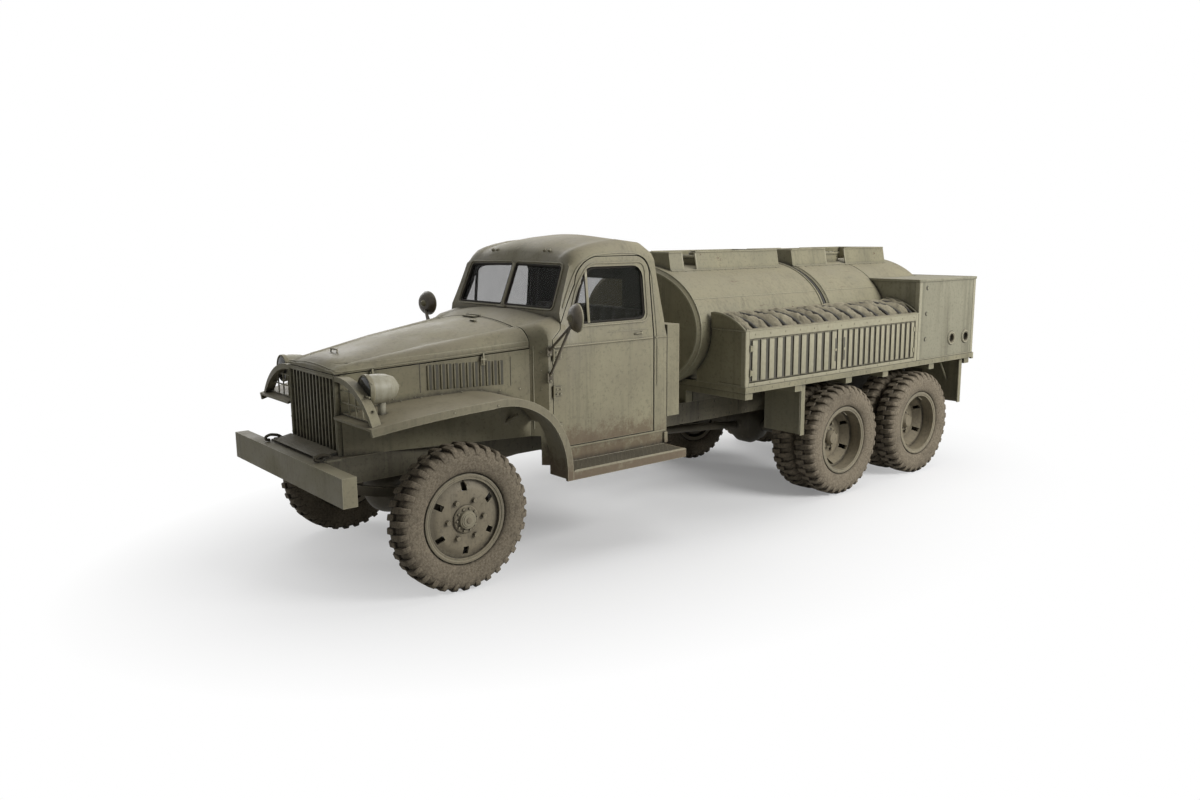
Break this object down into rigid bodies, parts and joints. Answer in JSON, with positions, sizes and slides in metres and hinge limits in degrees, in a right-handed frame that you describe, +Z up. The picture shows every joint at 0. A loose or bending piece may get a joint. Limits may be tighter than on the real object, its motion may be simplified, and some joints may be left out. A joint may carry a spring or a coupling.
{
  "type": "tanker truck",
  "caption": "Three-axle military-style fuel tanker truck with a closed cab, twin elliptical tanks, side lockers, rear equipment cabinet, opening doors, lids and hood, and steered front wheels.",
  "frame": {"origin": "on the ground, midway between the front of the bumper and the rear of the deck, on the centre line", "axes": "+X to the truck's left, +Y to its rear, +Z up"},
  "size_m": [2.1752, 6.36, 2.19],
  "materials": {
    "olive_paint": "weathered matte olive drab",
    "chassis_paint": "dusty matte dark olive",
    "cast_iron": "rough",
    "wheel_paint": "dusty matte olive drab",
    "tyre": "dusty worn",
    "glass": "clear, dusty",
    "canvas": "matte canvas",
    "seat_cover": "worn",
    "port_metal": "dull",
    "fittings_paint": "matte",
    "dark_plastic": "worn gloss"
  },
  "bodies": {
    "chassis": {"frame_rails": "chassis_paint", "cross_members": "chassis_paint", "bumper": "olive_paint", "front_axle": "chassis_paint", "rear_axles": "chassis_paint", "leaf_springs": "chassis_paint", "driveline": "chassis_paint", "engine": "cast_iron", "radiator": "cast_iron", "exhaust": "chassis_paint", "fuel_tank": "olive_paint", "grille": "olive_paint", "hood_sides": "olive_paint", "front_fenders": "olive_paint", "brush_guards": "olive_paint", "headlights": "olive_paint", "cab_shell": "olive_paint", "cab_glass": "glass", "cab_fittings": "fittings_paint", "seats": "seat_cover", "running_boards": "olive_paint", "mirrors": "olive_paint", "cross_locker": "olive_paint", "deck_frame": "chassis_paint", "tanks": "olive_paint", "tank_coamings": "olive_paint", "lockers": "olive_paint", "covers": "canvas", "rear_cabinet": "olive_paint", "hose_ports": "port_metal", "mudguards": "olive_paint"},
    "hood": {"hood": "olive_paint"},
    "left_knuckle": {"left_knuckle": "chassis_paint"},
    "right_knuckle": {"right_knuckle": "chassis_paint"},
    "front_left_wheel": {"front_left_tyre": "tyre", "front_left_rim": "wheel_paint"},
    "front_right_wheel": {"front_right_tyre": "tyre", "front_right_rim": "wheel_paint"},
    "middle_left_wheels": {"middle_left_tyres": "tyre", "middle_left_rims": "wheel_paint"},
    "middle_right_wheels": {"middle_right_tyres": "tyre", "middle_right_rims": "wheel_paint"},
    "rear_left_wheels": {"rear_left_tyres": "tyre", "rear_left_rims": "wheel_paint"},
    "rear_right_wheels": {"rear_right_tyres": "tyre", "rear_right_rims": "wheel_paint"},
    "left_door": {"left_door": "olive_paint", "left_door_glass": "glass"},
    "right_door": {"right_door": "olive_paint", "right_door_glass": "glass"},
    "front_hatch": {"front_hatch_lid": "olive_paint"},
    "rear_hatch": {"rear_hatch_lid": "olive_paint"},
    "left_locker_front_door": {"left_locker_front_door": "olive_paint"},
    "left_locker_rear_door": {"left_locker_rear_door": "olive_paint"},
    "right_locker_front_door": {"right_locker_front_door": "olive_paint"},
    "right_locker_rear_door": {"right_locker_rear_door": "olive_paint"},
    "left_cabinet_door": {"left_cabinet_door": "olive_paint"},
    "right_cabinet_door": {"right_cabinet_door": "olive_paint"},
    "steering_wheel": {"steering_wheel": "dark_plastic"}
  },
  "joints": [
    {"name": "left_steer", "type": "hinge", "parent": "chassis", "child": "left_knuckle", "pos_m": [0.69, -2.41, 0.465], "axis": [0, 0, 1], "range_deg": [-27, 27]},
    {"name": "right_steer", "type": "hinge", "parent": "chassis", "child": "right_knuckle", "pos_m": [-0.69, -2.41, 0.465], "axis": [0, 0, 1], "range_deg": [-27, 27]},
    {"name": "steering_wheel_turn", "type": "hinge", "parent": "chassis", "child": "steering_wheel", "pos_m": [0.36, -1.279, 1.48], "axis": [0, 0.8192, 0.5736], "range_deg": [-540, 540]},
    {"name": "front_left_spin", "type": "hinge", "parent": "left_knuckle", "child": "front_left_wheel", "pos_m": [0.84, -2.41, 0.465], "axis": [1, 0, 0], "continuous": true},
    {"name": "front_right_spin", "type": "hinge", "parent": "right_knuckle", "child": "front_right_wheel", "pos_m": [-0.84, -2.41, 0.465], "axis": [1, 0, 0], "continuous": true},
    {"name": "middle_left_spin", "type": "hinge", "parent": "chassis", "child": "middle_left_wheels", "pos_m": [0.865, 1.197, 0.465], "axis": [1, 0, 0], "continuous": true},
    {"name": "middle_right_spin", "type": "hinge", "parent": "chassis", "child": "middle_right_wheels", "pos_m": [-0.865, 1.197, 0.465], "axis": [1, 0, 0], "continuous": true},
    {"name": "rear_left_spin", "type": "hinge", "parent": "chassis", "child": "rear_left_wheels", "pos_m": [0.865, 2.315, 0.465], "axis": [1, 0, 0], "continuous": true},
    {"name": "rear_right_spin", "type": "hinge", "parent": "chassis", "child": "rear_right_wheels", "pos_m": [-0.865, 2.315, 0.465], "axis": [1, 0, 0], "continuous": true},
    {"name": "left_door_swing", "type": "hinge", "parent": "chassis", "child": "left_door", "pos_m": [0.7613, -1.604, 0.9], "axis": [0, 0, -1], "range_deg": [0, 65]},
    {"name": "right_door_swing", "type": "hinge", "parent": "chassis", "child": "right_door", "pos_m": [-0.7613, -1.604, 0.9], "axis": [0, 0, 1], "range_deg": [0, 65]},
    {"name": "hood_lift", "type": "hinge", "parent": "chassis", "child": "hood", "pos_m": [0, -1.7383, 1.626], "axis": [-1, 0, 0], "range_deg": [0, 50]},
    {"name": "front_hatch_lift", "type": "hinge", "parent": "chassis", "child": "front_hatch", "pos_m": [0, 0.204, 1.9983], "axis": [1, 0, 0], "range_deg": [0, 100]},
    {"name": "rear_hatch_lift", "type": "hinge", "parent": "chassis", "child": "rear_hatch", "pos_m": [0, 1.864, 1.9983], "axis": [1, 0, 0], "range_deg": [0, 100]},
    {"name": "left_locker_front_swing", "type": "hinge", "parent": "chassis", "child": "left_locker_front_door", "pos_m": [1.0733, -0.006, 1.1], "axis": [0, 0, -1], "range_deg": [0, 110]},
    {"name": "left_locker_rear_swing", "type": "hinge", "parent": "chassis", "child": "left_locker_rear_door", "pos_m": [1.0733, 2.1717, 1.1], "axis": [0, 0, 1], "range_deg": [0, 110]},
    {"name": "right_locker_front_swing", "type": "hinge", "parent": "chassis", "child": "right_locker_front_door", "pos_m": [-1.0733, -0.006, 1.1], "axis": [0, 0, 1], "range_deg": [0, 110]},
    {"name": "right_locker_rear_swing", "type": "hinge", "parent": "chassis", "child": "right_locker_rear_door", "pos_m": [-1.0733, 2.1717, 1.1], "axis": [0, 0, -1], "range_deg": [0, 110]},
    {"name": "left_cabinet_swing", "type": "hinge", "parent": "chassis", "child": "left_cabinet_door", "pos_m": [1.026, 3.1723, 1.2], "axis": [0, 0, -1], "range_deg": [0, 110]},
    {"name": "right_cabinet_swing", "type": "hinge", "parent": "chassis", "child": "right_cabinet_door", "pos_m": [-1.026, 3.1723, 1.2], "axis": [0, 0, 1], "range_deg": [0, 110]}
  ],
  "couplings": [
    {"joint": "right_steer", "follows": "left_steer", "ratio": 1},
    {"joint": "steering_wheel_turn", "follows": "left_steer", "ratio": 20}
  ]
}
